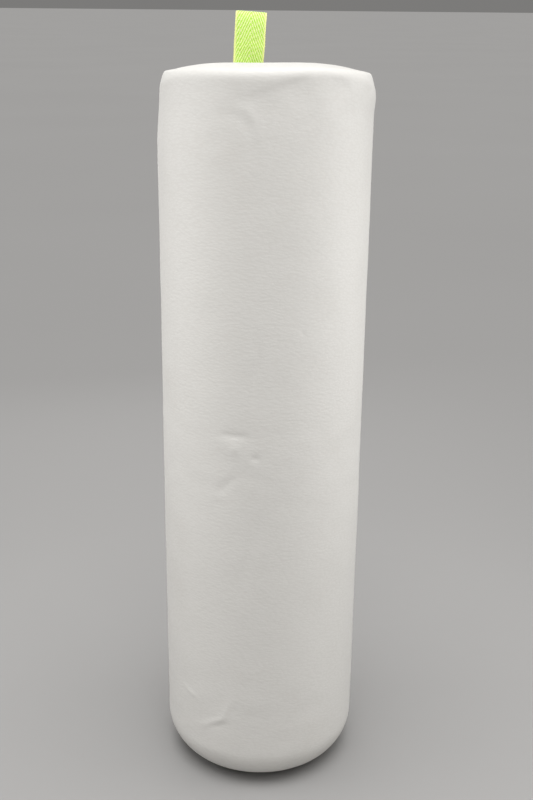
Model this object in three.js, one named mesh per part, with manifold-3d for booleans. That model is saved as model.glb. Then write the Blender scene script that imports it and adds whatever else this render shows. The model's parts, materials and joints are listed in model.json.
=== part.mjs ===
// Training bumper: a firm foam rod sewn into a tube of white leatherette, with a lime webbing loop
// caught in the seam at one end. The frame is in millimetres, +Z up, with the origin at the centre
// of the bottom, where the bumper stands, and with the loop and the long seam at the back, on +Y.
import * as THREE from "three";
import { mergeVertices } from "three/addons/utils/BufferGeometryUtils.js";
import Module from "manifold-3d";

// Driving dimensions
const LENGTH = 305; // floor to the crest of the top panel
const RADIUS = 42.5; // outside of the cover
const SHEET = 1; // leatherette thickness
const GAP = 0.3; // air left between neighbouring pieces
const BOTTOM_EDGE = 16; // outer radius of the rounded bottom edge
const TOP_EDGE = 4; // outer radius of the rounded top edge
const CROWN_RADIUS = 750; // outer radius of the slightly domed top panel
const BOTTOM_SEAM = 45; // degrees down the bottom edge to its seam
const TOP_SEAM = 50; // degrees up the top edge to its seam
const TOP_FOLD_HEIGHT = 303.1; // centre of the fold at the top seam
const TOP_ALLOWANCE_END = 296; // how far down the top seam allowances reach
const BOTTOM_ALLOWANCE_END = 12; // how far up the bottom seam allowances reach
const FIN_DEPTH = 5; // how far the long seam's allowances stand in from the wall
const CORE_RADIUS = 33.2;
const THREAD = 0.5; // diameter of a row of seam stitches
const CLOSING_THREAD = 0.34;
const CLOSING = { from: 26, to: 116, pitch: 5, swing: 0.24 }; // the hand-closed stretch
const WEBBING_WIDTH = 12.7;
const WEBBING = 0.9; // webbing thickness
const LOOP_LEAN = 3.5; // degrees that the loop leans towards +X
const LOOP_HEIGHT = 19.8; // flex line to the outside of the bight
const LOOP_HALF_WIDTH = 3.9; // half the outer width of the open loop
const LOOP_STEM = 3.8; // length of the closed stem below the eye
const FLEX_LINE = { y: 37.1, z: 305.45 }; // where the webbing leaves the seam and bends
const SEGMENTS = 48; // facets around the body

// Dimensions that follow
const HALF = SHEET / 2;
const FOLD = HALF + GAP / 2; // centreline radius of a sheet folded back on itself
const TURN = 1.5; // centreline radius where an end panel turns into its allowance
const WALL_INSIDE = RADIUS - SHEET;
const WRAP_TOP = TOP_ALLOWANCE_END - GAP - THREAD;
const WRAP_BOTTOM = BOTTOM_ALLOWANCE_END + GAP + THREAD;
const SLIT = GAP / 2; // half the gap of the long seam
const TAILS = 2 * WEBBING; // thickness of the two webbing tails
const KNUCKLE = WEBBING + 0.05; // half the thickness of the webbing at the flex line
const ONE_TURN = 2 * Math.PI;
const BACK = Math.PI / 2; // direction of +Y

const LEATHERETTE = { color: 0xdedcd6, roughness: 0.55, metalness: 0 };
const FOAM = { color: 0xd8d8d0, roughness: 0.95, metalness: 0 };
const WADDING = { color: 0xeeece6, roughness: 1, metalness: 0 };
const WHITE_THREAD = { color: 0xf0efea, roughness: 0.7, metalness: 0 };
const LIME_WEBBING = { color: 0xb9e84a, roughness: 0.8, metalness: 0 };

const wasm = await Module();
wasm.setup();

const bumper = new THREE.Group();
const radians = THREE.MathUtils.degToRad;
const degrees = THREE.MathUtils.radToDeg;

function add(name, geometry, finish, parent = bumper) {
  const mesh = new THREE.Mesh(geometry, new THREE.MeshStandardMaterial(finish));
  mesh.name = name;
  parent.add(mesh);
}

// A closed geometry as a solid that can be cut and joined.
function solid(geometry) {
  const bare = geometry.index ? geometry.toNonIndexed() : geometry.clone();
  bare.deleteAttribute("normal");
  bare.deleteAttribute("uv");
  const merged = mergeVertices(bare, 1e-3);
  return new wasm.Manifold(
    new wasm.Mesh({
      numProp: 3,
      vertProperties: merged.attributes.position.array,
      triVerts: new Uint32Array(merged.index.array),
    }),
  );
}

// A solid as a geometry again.
function geometryOf(made) {
  const mesh = made.getMesh();
  const geometry = new THREE.BufferGeometry();
  geometry.setAttribute("position", new THREE.BufferAttribute(mesh.vertProperties, 3));
  geometry.setIndex(new THREE.BufferAttribute(mesh.triVerts, 1));
  return geometry;
}

function box(x0, x1, y0, y1, z0, z1) {
  const geometry = new THREE.BoxGeometry(x1 - x0, y1 - y0, z1 - z0);
  return geometry.translate((x0 + x1) / 2, (y0 + y1) / 2, (z0 + z1) / 2);
}

// A closed outline of (radius, height) points turned about Z.
function revolve(outline) {
  const points = THREE.ShapeUtils.area(outline) > 0 ? outline : [...outline].reverse();
  const closed = points[0].x > 0 ? [...points, points[0]] : points;
  return new THREE.LatheGeometry(closed, SEGMENTS).rotateX(Math.PI / 2);
}

// Points of an arc about (x, y), from one angle to the other in degrees.
function arc(x, y, radius, from, to, steps) {
  return Array.from({ length: steps + 1 }, (_, i) => {
    const angle = radians(from + ((to - from) * i) / steps);
    return new THREE.Vector2(x + radius * Math.cos(angle), y + radius * Math.sin(angle));
  });
}

// The outline of a sheet of even thickness that follows a centreline of (radius, height) points.
function sheetAlong(line) {
  const over = [];
  const under = [];
  line.forEach((point, i) => {
    const into = point.clone().sub(line[Math.max(i - 1, 0)]).normalize();
    const out = line[Math.min(i + 1, line.length - 1)].clone().sub(point).normalize();
    const along = into.clone().add(out).normalize();
    const miter = HALF / along.dot(out.lengthSq() ? out : into);
    const across = new THREE.Vector2(-along.y, along.x).multiplyScalar(miter);
    if (point.x === 0) {
      across.set(0, HALF); // a panel's middle is level, so its outline stays on the axis
    }
    over.push(point.clone().add(across));
    under.push(point.clone().sub(across));
  });
  return [...over, ...under.reverse()];
}

// Cover: the tube, with its two ends folded in at the seams
const bottomArc = BOTTOM_EDGE - HALF; // centreline radii of the two rounded edges
const topArc = TOP_EDGE - HALF;
const bottomCentre = new THREE.Vector2(RADIUS - BOTTOM_EDGE, BOTTOM_EDGE);
const [bottomFold] = arc(bottomCentre.x, bottomCentre.y, bottomArc - FOLD, -BOTTOM_SEAM, 0, 1);
const [foldFromTopCentre] = arc(0, 0, topArc - FOLD, TOP_SEAM, 0, 1);
const topCentre = new THREE.Vector2(RADIUS - TOP_EDGE, TOP_FOLD_HEIGHT - foldFromTopCentre.y);
const topFold = topCentre.clone().add(foldFromTopCentre);

const tubeLine = [
  new THREE.Vector2(bottomFold.x - FOLD, BOTTOM_ALLOWANCE_END),
  ...arc(bottomFold.x, bottomFold.y, FOLD, -180, -BOTTOM_SEAM, 4),
  ...arc(bottomCentre.x, bottomCentre.y, bottomArc, -BOTTOM_SEAM, 0, 6).slice(1),
  ...arc(topCentre.x, topCentre.y, topArc, 0, TOP_SEAM, 4),
  ...arc(topFold.x, topFold.y, FOLD, TOP_SEAM, 180, 4).slice(1),
  new THREE.Vector2(topFold.x - FOLD, TOP_ALLOWANCE_END),
];

// The tube's two long edges meet in a grooved seam at the back, and turn in as a pair of fins.
const GROOVE = 1.5; // side of the square bar whose corner cuts the groove
const GROOVE_OUT = 0.15; // that bar's axis stands this far outside the wall
const FIN_SETBACK = 4; // the fins stop this far above the wrap's lower end
const slit = solid(box(-SLIT, SLIT, 0, RADIUS + GROOVE, 0, LENGTH));
const groove = solid(
  new THREE.BoxGeometry(GROOVE, GROOVE, LENGTH)
    .rotateZ(Math.PI / 4)
    .translate(0, RADIUS + GROOVE_OUT, LENGTH / 2),
);
const fins = [-1, 1].map((side) => {
  const middle = side * (SLIT + HALF);
  return solid(
    box(middle - HALF, middle + HALF, WALL_INSIDE - FIN_DEPTH, WALL_INSIDE + GAP,
      WRAP_BOTTOM + FIN_SETBACK, WRAP_TOP - THREAD),
  );
});
const tube = solid(revolve(sheetAlong(tubeLine))).subtract(slit).subtract(groove);
add("side_panel", geometryOf(tube.add(fins[0]).add(fins[1])), LEATHERETTE);

// Cover: the domed top panel, notched where the webbing passes through the seam
const crownLine = CROWN_RADIUS - HALF;
const crownCentre = LENGTH - CROWN_RADIUS;
const topAllowance = topFold.x - FOLD - SHEET - GAP; // centreline radius of its turned-down edge
const topTurnX = topAllowance - TURN;
const topTurnAngle = Math.acos(topTurnX / (crownLine - TURN));
const topTurnZ = crownCentre + (crownLine - TURN) * Math.sin(topTurnAngle);
const topLine = [
  new THREE.Vector2(0, crownCentre + crownLine),
  ...arc(0, crownCentre, crownLine, 90, degrees(topTurnAngle), 5).slice(1),
  ...arc(topTurnX, topTurnZ, TURN, degrees(topTurnAngle), 0, 4).slice(1),
  new THREE.Vector2(topAllowance, TOP_ALLOWANCE_END),
];
const NOTCH_SIDE = 1.1; // room left beside the webbing
const notchHalf = WEBBING_WIDTH / 2 + NOTCH_SIDE;
const notch = solid(
  box(-notchHalf, notchHalf, FLEX_LINE.y - TAILS / 2 - GAP, RADIUS, TOP_ALLOWANCE_END - 1, LENGTH),
);
add("top_panel", geometryOf(solid(revolve(sheetAlong(topLine))).subtract(notch)), LEATHERETTE);

// Cover: the bottom panel, flat where the bumper stands and rounded up to the seam
const bottomAllowance = bottomFold.x - FOLD - SHEET - GAP;
const bottomTurnX = bottomAllowance - TURN;
const bottomTurnAngle = -Math.acos((bottomTurnX - bottomCentre.x) / (bottomArc - TURN));
const bottomTurnZ = bottomCentre.y + (bottomArc - TURN) * Math.sin(bottomTurnAngle);
const bottomLine = [
  new THREE.Vector2(0, HALF),
  ...arc(bottomCentre.x, bottomCentre.y, bottomArc, -90, degrees(bottomTurnAngle), 4),
  ...arc(bottomTurnX, bottomTurnZ, TURN, degrees(bottomTurnAngle), 0, 4).slice(1),
  new THREE.Vector2(bottomAllowance, BOTTOM_ALLOWANCE_END),
];
add("bottom_panel", revolve(sheetAlong(bottomLine)), LEATHERETTE);

// Filling: a foam rod the length of the bumper, in a sleeve of wadding
const coreEdge = BOTTOM_EDGE - SHEET - GAP;
const coreEdgeAngle = degrees(-Math.acos((CORE_RADIUS - bottomCentre.x) / coreEdge));
const coreCrown = CROWN_RADIUS - SHEET - GAP;
const coreCrownAngle = degrees(Math.acos(CORE_RADIUS / coreCrown));
add(
  "foam_core",
  revolve([
    new THREE.Vector2(0, SHEET + GAP),
    ...arc(bottomCentre.x, bottomCentre.y, coreEdge, -90, coreEdgeAngle, 3),
    ...arc(0, crownCentre, coreCrown, coreCrownAngle, 90, 4).slice(0, -1),
    new THREE.Vector2(0, crownCentre + coreCrown),
  ]),
  FOAM,
);

const WRAP_TAPER = { inward: 0.7, length: 5 }; // the sleeve's lower end clears the rounded edge
const wrapInside = CORE_RADIUS + GAP;
const wrapOutside = WALL_INSIDE - GAP;
const sleeve = solid(
  revolve([
    new THREE.Vector2(wrapInside, WRAP_BOTTOM),
    new THREE.Vector2(wrapOutside - WRAP_TAPER.inward, WRAP_BOTTOM),
    new THREE.Vector2(wrapOutside, WRAP_BOTTOM + WRAP_TAPER.length),
    new THREE.Vector2(wrapOutside, WRAP_TOP),
    new THREE.Vector2(wrapInside, WRAP_TOP),
  ]),
);
const jointHalf = SLIT + SHEET + GAP + THREAD + GAP; // the fins and their thread stand in a joint
const joint = solid(box(-jointHalf, jointHalf, 0, RADIUS, 0, LENGTH));
add("wadding_wrap", geometryOf(sleeve.subtract(joint)), WADDING);

// Threads: one round cord along each row of stitches
const HEXAGON = 6;

function threadAlong(curve, steps, diameter = THREAD) {
  const section = new THREE.Shape(arc(0, 0, diameter / 2, 0, 360, HEXAGON).slice(0, -1));
  return new THREE.ExtrudeGeometry(section, { steps, extrudePath: curve });
}

// A row of stitches around an end, left open for a given half angle either side of the back.
class StitchedRow extends THREE.Curve {
  constructor(radius, height, halfOpening) {
    super();
    Object.assign(this, { radius, height, halfOpening });
  }

  getPoint(t, target = new THREE.Vector3()) {
    const angle = BACK + this.halfOpening + t * (ONE_TURN - 2 * this.halfOpening);
    return target.set(this.radius * Math.cos(angle), this.radius * Math.sin(angle), this.height);
  }
}

const STITCH_DEPTH = { top: 1.5, bottom: 3 }; // from the turn of the panel to its row of stitches
const LOOP_OPENING = radians(13);
const stitchInset = HALF + GAP + THREAD / 2;
add(
  "top_seam_thread",
  threadAlong(
    new StitchedRow(topAllowance - stitchInset, topTurnZ - STITCH_DEPTH.top, LOOP_OPENING), SEGMENTS),
  WHITE_THREAD,
);
const bottomStitchZ = bottomTurnZ + STITCH_DEPTH.bottom;
add(
  "bottom_seam_thread",
  revolve(arc(bottomAllowance - stitchInset, bottomStitchZ, THREAD / 2, 0, 360, HEXAGON).slice(0, -1)),
  WHITE_THREAD,
);

const sideThreadX = SLIT + SHEET + GAP + THREAD / 2;
const sideThreadY = WALL_INSIDE - FIN_DEPTH / 2;
const sideThreadLine = new THREE.LineCurve3(
  new THREE.Vector3(sideThreadX, sideThreadY, WRAP_BOTTOM + FIN_SETBACK + 1),
  new THREE.Vector3(sideThreadX, sideThreadY, WRAP_TOP - THREAD - 1),
);
add("side_seam_thread", threadAlong(sideThreadLine, 1), WHITE_THREAD);

// The last stretch of the long seam is closed by hand, by a zigzag sunk in the seam's groove.
const closingSteps = (CLOSING.to - CLOSING.from) / CLOSING.pitch;
const closingY = RADIUS - 0.2;
const zigzag = Array.from({ length: closingSteps + 1 }, (_, i) => {
  const side = i % 2 ? 1 : -1;
  return new THREE.Vector3(side * CLOSING.swing, closingY, CLOSING.from + i * CLOSING.pitch);
});
add(
  "closing_thread",
  threadAlong(new THREE.CatmullRomCurve3(zigzag), 2 * closingSteps, CLOSING_THREAD),
  WHITE_THREAD,
);

// Loop: the webbing's two tails lie in the seam, and its bight stands above it. It flexes where it
// leaves the seam, so the standing part is a piece of its own that turns about that line.
const loop = new THREE.Group();
loop.position.set(0, FLEX_LINE.y, FLEX_LINE.z);
loop.rotation.y = radians(LOOP_LEAN);
bumper.add(loop);

// The two sides of a loop seen from its edge, as (depth, height): up from a stem at its foot, out
// to its widest, over the bight, and down to the other side of the stem.
function bend(path, halfStem, halfWidth, foot, top) {
  const widest = LOOP_HEIGHT * 0.68;
  const flare = { foot: 3, below: 6, above: 4 }; // how far the curves run on before they turn
  const shoulder = halfWidth * 0.62;
  path.lineTo(halfStem, foot);
  path.bezierCurveTo(halfStem, foot + flare.foot, halfWidth, widest - flare.below, halfWidth, widest);
  path.bezierCurveTo(halfWidth, widest + flare.above, shoulder, top, 0, top);
  path.bezierCurveTo(-shoulder, top, -halfWidth, widest + flare.above, -halfWidth, widest);
  path.bezierCurveTo(-halfWidth, widest - flare.below, -halfStem, foot + flare.foot, -halfStem, foot);
}

const SLIVER = 0.05; // half the gap where the two layers of webbing part
const eyeFoot = LOOP_STEM + 1.2;
const bight = new THREE.Shape();
bight.moveTo(KNUCKLE, 0);
bend(bight, KNUCKLE, LOOP_HALF_WIDTH, LOOP_STEM, LOOP_HEIGHT);
bight.lineTo(-KNUCKLE, 0);
bight.absarc(0, 0, KNUCKLE, Math.PI, ONE_TURN, false);
const eye = new THREE.Path();
eye.moveTo(SLIVER, eyeFoot);
bend(eye, SLIVER, LOOP_HALF_WIDTH - WEBBING, eyeFoot, LOOP_HEIGHT - WEBBING);
bight.holes.push(eye);

// The outline's depth, height and extrusion become the loop's Y, Z and X.
const upright = new THREE.Matrix4().makeBasis(
  new THREE.Vector3(0, 1, 0),
  new THREE.Vector3(0, 0, 1),
  new THREE.Vector3(1, 0, 0),
);
const bentWebbing = new THREE.ExtrudeGeometry(bight, {
  depth: WEBBING_WIDTH,
  bevelEnabled: false,
  curveSegments: 8,
});
bentWebbing.translate(0, 0, -WEBBING_WIDTH / 2).applyMatrix4(upright);
add("webbing_loop", bentWebbing, LIME_WEBBING, loop);

// The tails lie straight in the seam, low enough to clear the leaning loop's lower corner.
const halfWebbing = WEBBING_WIDTH / 2;
const tailTop = FLEX_LINE.z - KNUCKLE - GAP - halfWebbing * Math.sin(radians(LOOP_LEAN));
const tailBottom = TOP_ALLOWANCE_END + 2 * GAP;
const tailsFront = FLEX_LINE.y - TAILS / 2;
const tails = box(-halfWebbing, halfWebbing, tailsFront, tailsFront + TAILS, tailBottom, tailTop);
add("webbing_tails", tails, LIME_WEBBING);

// A bar tack holds the two tails together inside the cover.
const TACK = { half: 5.2, points: 9, swing: 0.9, height: 3 };
const tackY = tailsFront - GAP - THREAD / 2;
const tackLine = Array.from({ length: TACK.points }, (_, i) => {
  const x = TACK.half * ((2 * i) / (TACK.points - 1) - 1);
  const swing = i % 2 ? TACK.swing : -TACK.swing;
  return new THREE.Vector3(x, tackY, tailBottom + TACK.height + swing);
});
add("loop_bar_tack", threadAlong(new THREE.CatmullRomCurve3(tackLine), 24), WHITE_THREAD);

export default bumper;
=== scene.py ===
"""Training bumper: a firm foam rod in a sewn leatherette cover, with a lime webbing loop in one seam.

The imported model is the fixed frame, and every size and place here starts from it. The frame is in
metres, +Z up, with the bumper standing on its bottom and the loop and the long seam at +Y. The
cover's skin is inflated as cloth, marked by handling, cut apart at its seams and hemmed, so that
each panel is a sheet of its own. The loop is woven, and bends where the frame's joint turns.
"""

from __future__ import annotations

import json
import logging
import math
from dataclasses import dataclass, field
from enum import Enum

import bmesh
import bpy
import numpy as np
from mathutils import Matrix, Vector, noise


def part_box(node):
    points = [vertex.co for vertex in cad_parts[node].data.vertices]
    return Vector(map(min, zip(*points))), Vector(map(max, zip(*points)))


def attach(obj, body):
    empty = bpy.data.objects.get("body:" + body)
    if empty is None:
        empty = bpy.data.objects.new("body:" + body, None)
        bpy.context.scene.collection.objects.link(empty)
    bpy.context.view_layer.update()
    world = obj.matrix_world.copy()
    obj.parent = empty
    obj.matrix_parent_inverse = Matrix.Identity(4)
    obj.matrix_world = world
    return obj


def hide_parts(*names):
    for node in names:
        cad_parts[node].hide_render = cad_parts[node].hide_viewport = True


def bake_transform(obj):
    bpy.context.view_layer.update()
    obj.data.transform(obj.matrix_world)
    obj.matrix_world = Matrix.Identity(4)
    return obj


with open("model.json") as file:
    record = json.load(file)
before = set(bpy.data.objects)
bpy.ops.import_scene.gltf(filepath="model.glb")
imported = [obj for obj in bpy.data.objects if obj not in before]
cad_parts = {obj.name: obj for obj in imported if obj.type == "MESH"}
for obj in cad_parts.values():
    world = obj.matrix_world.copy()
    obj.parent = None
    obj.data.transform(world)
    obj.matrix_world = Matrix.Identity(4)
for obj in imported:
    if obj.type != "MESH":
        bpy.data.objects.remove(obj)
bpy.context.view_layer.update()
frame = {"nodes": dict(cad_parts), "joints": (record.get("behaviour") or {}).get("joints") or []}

MM = 0.001
Grid = np.ndarray
Item = bpy.types.Object
log = logging.getLogger("bumper")


# ---- places read from the frame


@dataclass(frozen=True)
class Places:
    """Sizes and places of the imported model, in metres."""

    radius: float
    crest: float
    side_top: float
    top_hem: float
    bottom_hem: float
    flex: Vector
    loop_top: float
    webbing: float
    tails: tuple[Vector, Vector]
    closing: tuple[Vector, Vector]

    @classmethod
    def read(cls) -> Places:
        """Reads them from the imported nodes' boxes and the one joint.

        Returns:
            The places that the pieces are built from.
        """
        side, top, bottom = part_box("side_panel"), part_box("top_panel"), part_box("bottom_panel")
        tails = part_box("webbing_tails")
        return cls(
            radius=side[1][0],
            crest=top[1][2],
            side_top=side[1][2],
            top_hem=top[1][0],
            bottom_hem=bottom[1][0],
            flex=Vector(frame["joints"][0]["pos_m"]),
            loop_top=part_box("webbing_loop")[1][2],
            webbing=tails[1][0] - tails[0][0],
            tails=(Vector(tails[0]), Vector(tails[1])),
            closing=tuple(Vector(corner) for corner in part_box("closing_thread")),
        )


PLACES = Places.read()
FACE = -11.3  # bearing of the side that faces the camera, in degrees from -Y towards +X


# ---- mesh helpers


def alone(*objects: Item) -> None:
    """Selects these objects and nothing else, and makes the first one active."""
    if bpy.context.object and bpy.context.object.mode != "OBJECT":
        bpy.ops.object.mode_set(mode="OBJECT")
    bpy.ops.object.select_all(action="DESELECT")
    for item in objects:
        item.select_set(True)
    bpy.context.view_layer.objects.active = objects[0] if objects else None


def named(name: str) -> Item:
    """Gives the active object, and its mesh, a name."""
    made = bpy.context.object
    made.name = made.data.name = name
    return made


def set_all(thing: object, settings: dict[str, object]) -> None:
    """Sets properties of a thing by name."""
    for key, value in settings.items():
        setattr(thing, key, value)


def rows(elements: bpy.types.bpy_prop_collection, key: str) -> Grid:
    """A vector that each element of a mesh has, one row each."""
    flat = np.empty(len(elements) * 3, np.float32)
    elements.foreach_get(key, flat)
    return flat.reshape(-1, 3).astype(float)


def points(item: Item) -> Grid:
    """The vertices of a mesh object, one row each."""
    return rows(item.data.vertices, "co")


def set_points(item: Item, where: Grid) -> None:
    """Moves the vertices of a mesh object."""
    item.data.vertices.foreach_set("co", where.astype(np.float32).ravel())
    item.data.update()


def normals(item: Item) -> Grid:
    """The vertex normals of a mesh object, one row each."""
    return rows(item.data.vertex_normals, "vector")


def apply_modifier(item: Item, kind: str, **settings: object) -> None:
    """Adds a modifier with these settings and applies it.

    Args:
        item: The mesh object.
        kind: The modifier's type.
        **settings: The modifier's properties.
    """
    alone(item)
    modifier = item.modifiers.new(kind.lower(), kind)
    set_all(modifier, settings)
    bpy.ops.object.modifier_apply(modifier=modifier.name)


def smooth(item: Item, angle: float = 50) -> None:
    """Shades a mesh smooth, apart from edges sharper than an angle in degrees."""
    alone(item)
    bpy.ops.object.shade_smooth_by_angle(angle=math.radians(angle))


def ease(low: float, high: float, value: Grid) -> Grid:
    """A smooth step from 0 at low to 1 at high."""
    t = np.clip((value - low) / (high - low), 0, 1)
    return t * t * (3 - 2 * t)


def bearing_of(where: Grid) -> Grid:
    """The bearing of points about the axis, in radians from -Y, positive towards +X."""
    return np.arctan2(where[:, 0], -where[:, 1])


def wander(where: Grid, size: float, seed: int) -> Grid:
    """Smooth noise, one value from about -1 to 1 a point, with features of a given size."""
    shift = Vector((seed * 7.1, seed * 3.3, seed * 5.7))
    return np.array([noise.noise(Vector(p) / size + shift) for p in where])


# ---- shader helpers


class Value:
    """A shader socket whose arithmetic adds Math nodes."""

    def __init__(self, shader: Shader, socket: bpy.types.NodeSocket) -> None:
        """Wraps a socket of a shader."""
        self.shader = shader
        self.socket = socket

    def _math(self, operation: str, left: object, right: object) -> Value:
        """One Math node on two operands."""
        return self.shader.value("ShaderNodeMath", {"operation": operation}, {0: left, 1: right})

    def __add__(self, other: object) -> Value:
        """self + other."""
        return self._math("ADD", self, other)

    def __radd__(self, other: object) -> Value:
        """other + self."""
        return self._math("ADD", other, self)

    def __sub__(self, other: object) -> Value:
        """self - other."""
        return self._math("SUBTRACT", self, other)

    def __rsub__(self, other: object) -> Value:
        """other - self."""
        return self._math("SUBTRACT", other, self)

    def __mul__(self, other: object) -> Value:
        """self * other."""
        return self._math("MULTIPLY", self, other)

    def __rmul__(self, other: object) -> Value:
        """other * self."""
        return self._math("MULTIPLY", other, self)

    def between(self, low: float, high: float) -> Value:
        """0 where self is under low, 1 where it is over high, and a smooth step between."""
        settings = {"interpolation_type": "SMOOTHSTEP"}
        return self.shader.value("ShaderNodeMapRange", settings, {0: self, 1: low, 2: high})


class Shader:
    """One material and its nodes."""

    def __init__(self, name: str) -> None:
        """Starts an empty material."""
        self.material = bpy.data.materials.new(name)
        self.material.use_nodes = True
        self.nodes = self.material.node_tree.nodes
        self.links = self.material.node_tree.links
        self.nodes.clear()

    def node(self, kind: str, settings: dict | None = None, inputs: dict | None = None) -> bpy.types.Node:
        """Adds a node.

        Args:
            kind: The node's type.
            settings: Its properties, which are set first.
            inputs: What its sockets hold: a Value, a socket, a number or a tuple.

        Returns:
            The node.
        """
        made = self.nodes.new(kind)
        set_all(made, settings or {})
        for key, value in (inputs or {}).items():
            self.feed(made.inputs[key], value)
        return made

    def feed(self, socket: bpy.types.NodeSocket, value: object) -> None:
        """Links a value to a socket, or sets it there."""
        if isinstance(value, Value):
            self.links.new(value.socket, socket)
        elif isinstance(value, bpy.types.NodeSocket):
            self.links.new(value, socket)
        elif socket.type == "RGBA":
            socket.default_value = (*value, 1)
        else:
            socket.default_value = value

    def value(self, kind: str, settings: dict | None = None, inputs: dict | None = None,
              output: int | str = 0) -> Value:
        """Adds a node and wraps one of its outputs.

        Args:
            kind: The node's type.
            settings: Its properties.
            inputs: What its sockets hold.
            output: Which output to wrap.

        Returns:
            The wrapped output.
        """
        return Value(self, self.node(kind, settings, inputs).outputs[output])

    def mix(self, factor: object, first: object, second: object) -> Value:
        """Mixes two colours."""
        return self.value(
            "ShaderNodeMix", {"data_type": "RGBA"}, {0: factor, 6: first, 7: second}, 2)

    def noise(self, place: object, scale: float, detail: float = 2, rough: float = 0.5) -> Value:
        """Noise from 0 to 1 on a place vector."""
        inputs = {"Vector": place, "Scale": scale, "Detail": detail, "Roughness": rough}
        return self.value("ShaderNodeTexNoise", None, inputs)

    def cells(self, place: object, scale: float, smoothness: float = 0) -> Value:
        """How far a place is from the nearest of scattered points, smoothed if asked."""
        settings = {"feature": "SMOOTH_F1" if smoothness else "F1"}
        inputs = {"Vector": place, "Scale": scale}
        if smoothness:
            inputs["Smoothness"] = smoothness
        return self.value("ShaderNodeTexVoronoi", settings, inputs)

    def place(self) -> Value:
        """The piece's own Object coordinates."""
        return self.value("ShaderNodeTexCoord", output="Object")

    def apart(self, vector: object) -> tuple[Value, Value, Value]:
        """A vector's three parts."""
        made = self.node("ShaderNodeSeparateXYZ", None, {0: vector})
        return tuple(Value(self, socket) for socket in made.outputs)

    def together(self, x: object, y: object, z: object) -> Value:
        """A vector from three parts."""
        return self.value("ShaderNodeCombineXYZ", None, {0: x, 1: y, 2: z})

    def bump(self, height: Value, distance: float, strength: float = 1) -> Value:
        """A normal from a height of 0 to 1 that stands for a distance in metres."""
        inputs = {"Height": height, "Distance": distance, "Strength": strength}
        return self.value("ShaderNodeBump", None, inputs)

    def finish(self, inputs: dict) -> bpy.types.Material:
        """Ends in a Principled shader with these inputs.

        Args:
            inputs: What the Principled shader's sockets hold.

        Returns:
            The material.
        """
        surface = self.node("ShaderNodeBsdfPrincipled", None, inputs)
        self.node("ShaderNodeOutputMaterial", None, {"Surface": surface.outputs[0]})
        return self.material


# ---- finishes


class Lie(Enum):
    """How a sheet lies, which settles what its grain follows."""

    TUBE = "round the axis"
    FLAT = "across the axis"


@dataclass(frozen=True)
class Leatherette:
    """White coated leatherette: fine pebbles pressed longer around the roll than along it, with painted
    shade in its grain valleys.
    """

    lie: Lie
    white: tuple[float, float, float] = (0.80, 0.785, 0.75)
    # The darker tone that the random dirt and the painted shade in the grain valleys both mix towards.
    soiled_and_shaded: tuple[float, float, float] = (0.66, 0.635, 0.59)
    pebble: float = 0.82 * MM
    stretch: float = 2.3
    relief: float = 0.07 * MM
    rough: float = 0.5

    def surface(self, shader: Shader) -> Value:
        """The place on the unrolled sheet, with pebbles one unit across."""
        x, y, z = shader.apart(shader.place())
        if self.lie is Lie.FLAT:
            across, along = x, y
        else:
            angle = shader.value("ShaderNodeMath", {"operation": "ARCTAN2"}, {0: x, 1: 0 - y})
            across, along = angle * PLACES.radius, z
        return shader.together(
            across * (1 / (self.pebble * self.stretch)), along * (1 / self.pebble), 0)

    def make(self) -> bpy.types.Material:
        """Builds the material."""
        shader = Shader(f"leatherette_{self.lie.name.lower()}")
        sheet = self.surface(shader)
        place = shader.place()
        swirl = shader.noise(sheet, 0.35, 2)
        bent = shader.value(
            "ShaderNodeVectorMath", {"operation": "ADD"},
            {0: sheet, 1: shader.together(swirl * 0.9, swirl * 0.5, 0)})
        pebbles = shader.cells(bent, 1.0, 0.35)
        fine = shader.cells(bent, 2.7, 0.3)
        pores = shader.noise(sheet, 6, 1)
        valley = pebbles.between(0.35, 0.75)
        height = 1 - (pebbles * 0.75 + fine * 0.22 + pores * 0.12)
        worn = shader.noise(place, 34, 4, 0.6)
        cloud = shader.noise(place, 9, 3)
        # Painted shade: valley * 0.1 darkens the grain valleys, on top of random worn and cloudy dirt.
        soil_and_valley_shade = worn.between(0.5, 0.85) * 0.22 + cloud.between(0.45, 0.8) * 0.16 + valley * 0.1
        colour = shader.mix(soil_and_valley_shade, self.white, self.soiled_and_shaded)
        faded = shader.noise(place, 60, 2)
        return shader.finish({
            "Base Color": colour,
            "Roughness": self.rough + valley * 0.12 + faded * 0.08 - 0.04,
            "Normal": shader.bump(height, self.relief, 0.9),
            "Specular IOR Level": 0.42,
            "Sheen Weight": 0.06,
            "Sheen Roughness": 0.6,
        })


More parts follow.
